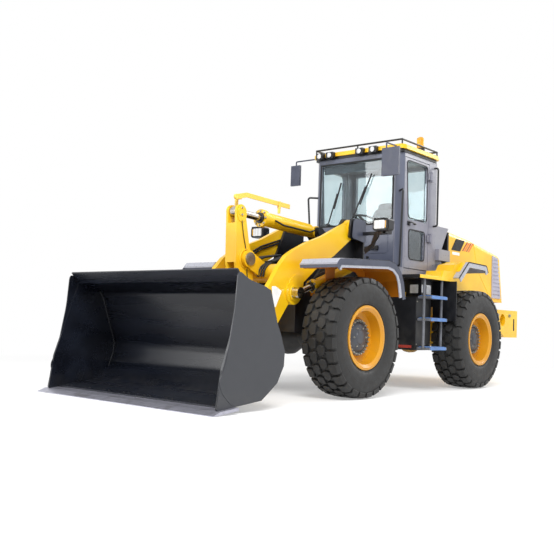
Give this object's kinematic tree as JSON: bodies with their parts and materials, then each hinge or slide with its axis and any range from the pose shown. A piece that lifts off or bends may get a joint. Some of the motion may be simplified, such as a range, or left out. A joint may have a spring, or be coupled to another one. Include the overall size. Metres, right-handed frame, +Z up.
{
  "type": "wheel loader",
  "caption": "Articulated wheel loader with a glazed cab, rear engine, front boom with Z-bar linkage and a wide bucket, on large lugged tyres.",
  "frame": {"origin": "on the ground below the centre of the machine's length and width", "axes": "+X forward to the bucket, +Y the machine's left side, +Z up"},
  "size_m": [7.13, 2.558, 3.4253],
  "materials": {
    "yellow_paint": "golden yellow paint over rolled steel, semi-gloss",
    "grey_paint": "lilac grey paint, semi-gloss",
    "dark_paint": "black paint, satin",
    "tyre_rubber": "dusty black rubber",
    "cast_counterweight": "painted casting",
    "worn_steel": "charcoal paint worn by earth",
    "edge_steel": "worn plate",
    "pin_steel": "turned steel",
    "chromed_rod": "polished chrome",
    "glass": "tinted",
    "black_plastic": "moulded",
    "amber_plastic": "moulded lens"
  },
  "bodies": {
    "rear_frame": {"rear_chassis": "yellow_paint", "cab_bearers": "yellow_paint", "rear_bulkhead": "dark_paint", "mudflaps": "black_plastic", "roof_trim": "dark_paint", "rear_axle": "yellow_paint", "counterweight": "cast_counterweight", "engine_block": "dark_paint", "cab_frame": "grey_paint", "cab_glass": "glass", "cab_roof": "yellow_paint", "seat": "black_plastic", "steering_console": "black_plastic", "side_boxes": "dark_paint", "platforms": "dark_paint", "rear_fenders": "dark_paint", "ladders": "dark_paint", "guard_rails": "dark_paint", "roof_rail": "dark_paint", "mirrors": "black_plastic", "work_lamps": "black_plastic", "beacon": "amber_plastic"},
    "front_frame": {"front_chassis": "yellow_paint", "fender_stays": "yellow_paint", "front_axle": "yellow_paint", "front_fenders": "grey_paint", "headlights": "black_plastic"},
    "boom": {"boom": "yellow_paint"},
    "bucket_pins": {"bucket_pins": "pin_steel"},
    "bucket": {"bucket": "worn_steel", "cutting_edge": "edge_steel"},
    "bellcrank_shaft": {"bellcrank_shaft": "pin_steel"},
    "bellcrank": {"bellcrank": "yellow_paint"},
    "link_shaft": {"link_shaft": "pin_steel"},
    "bucket_link": {"bucket_link": "yellow_paint"},
    "tilt_barrel": {"tilt_barrel": "yellow_paint"},
    "tilt_rod": {"tilt_rod": "chromed_rod"},
    "lift_barrel_left": {"lift_barrel_left": "yellow_paint"},
    "lift_rod_left": {"lift_rod_left": "chromed_rod"},
    "lift_barrel_right": {"lift_barrel_right": "yellow_paint"},
    "lift_rod_right": {"lift_rod_right": "chromed_rod"},
    "steer_barrel_left": {"steer_barrel_left": "yellow_paint"},
    "steer_rod_left": {"steer_rod_left": "chromed_rod"},
    "steer_barrel_right": {"steer_barrel_right": "yellow_paint"},
    "steer_rod_right": {"steer_rod_right": "chromed_rod"},
    "hood": {"engine_hood": "yellow_paint", "hood_grilles": "dark_paint"},
    "door_left": {"door_left": "grey_paint", "door_glass_left": "glass"},
    "door_right": {"door_right": "grey_paint", "door_glass_right": "glass"},
    "wheel_front_left": {"tyre_front_left": "tyre_rubber", "rim_front_left": "yellow_paint"},
    "wheel_front_right": {"tyre_front_right": "tyre_rubber", "rim_front_right": "yellow_paint"},
    "wheel_rear_left": {"tyre_rear_left": "tyre_rubber", "rim_rear_left": "yellow_paint"},
    "wheel_rear_right": {"tyre_rear_right": "tyre_rubber", "rim_rear_right": "yellow_paint"}
  },
  "joints": [
    {"name": "steer", "type": "hinge", "parent": "rear_frame", "child": "front_frame", "pos_m": [-0.365, 0, 0.805], "axis": [0, 0, 1], "range_deg": [-35, 35]},
    {"name": "boom_lift", "type": "hinge", "parent": "front_frame", "child": "boom", "pos_m": [0.513, 0, 1.957], "axis": [0, -1, 0], "range_deg": [0, 88]},
    {"name": "bucket_level", "type": "hinge", "parent": "boom", "child": "bucket_pins", "pos_m": [2.482, 0, 0.41], "axis": [0, 1, 0], "range_deg": [0, 74.81]},
    {"name": "bucket_tilt", "type": "hinge", "parent": "bucket_pins", "child": "bucket", "pos_m": [2.482, 0, 0.41], "axis": [0, 1, 0], "range_deg": [-45, 45]},
    {"name": "bellcrank_level", "type": "hinge", "parent": "boom", "child": "bellcrank_shaft", "pos_m": [1.915, 0, 1.485], "axis": [0, -1, 0], "range_deg": [0, 14.18]},
    {"name": "bellcrank_turn", "type": "hinge", "parent": "bellcrank_shaft", "child": "bellcrank", "pos_m": [1.915, 0, 1.485], "axis": [0, 1, 0], "range_deg": [-7.25, 7.25]},
    {"name": "link_level", "type": "hinge", "parent": "bucket", "child": "link_shaft", "pos_m": [2.534, 0, 0.6], "axis": [0, -1, 0], "range_deg": [0, 52.99]},
    {"name": "link_turn", "type": "hinge", "parent": "link_shaft", "child": "bucket_link", "pos_m": [2.534, 0, 0.6], "axis": [0, 1, 0], "range_deg": [-42.22, 42.22]},
    {"name": "tilt_swing", "type": "hinge", "parent": "front_frame", "child": "tilt_barrel", "pos_m": [0.615, 0, 1.932], "axis": [0, -1, 0], "range_deg": [0, 91.35]},
    {"name": "tilt_stroke", "type": "slide", "parent": "tilt_barrel", "child": "tilt_rod", "axis": [0.9988, 0, 0.0482], "range_m": [-0.0661, 0.0661]},
    {"name": "lift_swing_left", "type": "hinge", "parent": "front_frame", "child": "lift_barrel_left", "pos_m": [0.585, 0.58, 1.5], "axis": [0, -1, 0], "range_deg": [0, 82.36]},
    {"name": "lift_stroke_left", "type": "slide", "parent": "lift_barrel_left", "child": "lift_rod_left", "axis": [0.9411, 0, -0.3381], "range_m": [0, 0.62856]},
    {"name": "steer_swing_left", "type": "hinge", "parent": "rear_frame", "child": "steer_barrel_left", "pos_m": [-0.815, 0.15, 0.8], "axis": [0, 0, 1], "range_deg": [-15.09, 15.09]},
    {"name": "steer_stroke_left", "type": "slide", "parent": "steer_barrel_left", "child": "steer_rod_left", "axis": [0.9784, 0.2067, 0], "range_m": [-0.14428, 0.14428]},
    {"name": "door_left_swing", "type": "hinge", "parent": "rear_frame", "child": "door_left", "pos_m": [-1.007, 0.716, 1.99], "axis": [0, 0, 1], "range_deg": [0, 95]},
    {"name": "lift_swing_right", "type": "hinge", "parent": "front_frame", "child": "lift_barrel_right", "pos_m": [0.585, -0.58, 1.5], "axis": [0, -1, 0], "range_deg": [0, 82.36]},
    {"name": "lift_stroke_right", "type": "slide", "parent": "lift_barrel_right", "child": "lift_rod_right", "axis": [0.9411, 0, -0.3381], "range_m": [0, 0.62856]},
    {"name": "steer_swing_right", "type": "hinge", "parent": "rear_frame", "child": "steer_barrel_right", "pos_m": [-0.815, -0.15, 0.8], "axis": [0, 0, 1], "range_deg": [-15.09, 15.09]},
    {"name": "steer_stroke_right", "type": "slide", "parent": "steer_barrel_right", "child": "steer_rod_right", "axis": [0.9784, -0.2067, 0], "range_m": [-0.14428, 0.14428]},
    {"name": "door_right_swing", "type": "hinge", "parent": "rear_frame", "child": "door_right", "pos_m": [-1.007, -0.716, 1.99], "axis": [0, 0, -1], "range_deg": [0, 95]},
    {"name": "hood_lift", "type": "hinge", "parent": "rear_frame", "child": "hood", "pos_m": [-1.715, 0, 2.195], "axis": [0, 1, 0], "range_deg": [0, 45]},
    {"name": "roll_front_left", "type": "hinge", "parent": "front_frame", "child": "wheel_front_left", "pos_m": [1.035, 0.905, 0.67], "axis": [0, 1, 0], "continuous": true},
    {"name": "roll_front_right", "type": "hinge", "parent": "front_frame", "child": "wheel_front_right", "pos_m": [1.035, -0.905, 0.67], "axis": [0, 1, 0], "continuous": true},
    {"name": "roll_rear_left", "type": "hinge", "parent": "rear_frame", "child": "wheel_rear_left", "pos_m": [-1.765, 0.905, 0.67], "axis": [0, 1, 0], "continuous": true},
    {"name": "roll_rear_right", "type": "hinge", "parent": "rear_frame", "child": "wheel_rear_right", "pos_m": [-1.765, -0.905, 0.67], "axis": [0, 1, 0], "continuous": true}
  ],
  "couplings": [
    {"joint": "bucket_level", "follows": "boom_lift", "ratio": 0.85},
    {"joint": "bellcrank_level", "follows": "boom_lift", "ratio": 0.161},
    {"joint": "link_level", "follows": "boom_lift", "ratio": 0.602},
    {"joint": "tilt_swing", "follows": "boom_lift", "ratio": 1.038},
    {"joint": "bellcrank_turn", "follows": "bucket_tilt", "ratio": -0.161},
    {"joint": "link_turn", "follows": "bucket_tilt", "ratio": -0.938},
    {"joint": "tilt_stroke", "follows": "bucket_tilt", "m_per_rad": -0.084034},
    {"joint": "lift_swing_left", "follows": "boom_lift", "ratio": 0.93585},
    {"joint": "lift_stroke_left", "follows": "boom_lift", "m_per_rad": 0.40912},
    {"joint": "steer_swing_left", "follows": "steer", "ratio": 0.43099},
    {"joint": "steer_stroke_left", "follows": "steer", "m_per_rad": -0.23587},
    {"joint": "lift_swing_right", "follows": "boom_lift", "ratio": 0.93585},
    {"joint": "lift_stroke_right", "follows": "boom_lift", "m_per_rad": 0.40912},
    {"joint": "steer_swing_right", "follows": "steer", "ratio": 0.43099},
    {"joint": "steer_stroke_right", "follows": "steer", "m_per_rad": 0.23587}
  ]
}
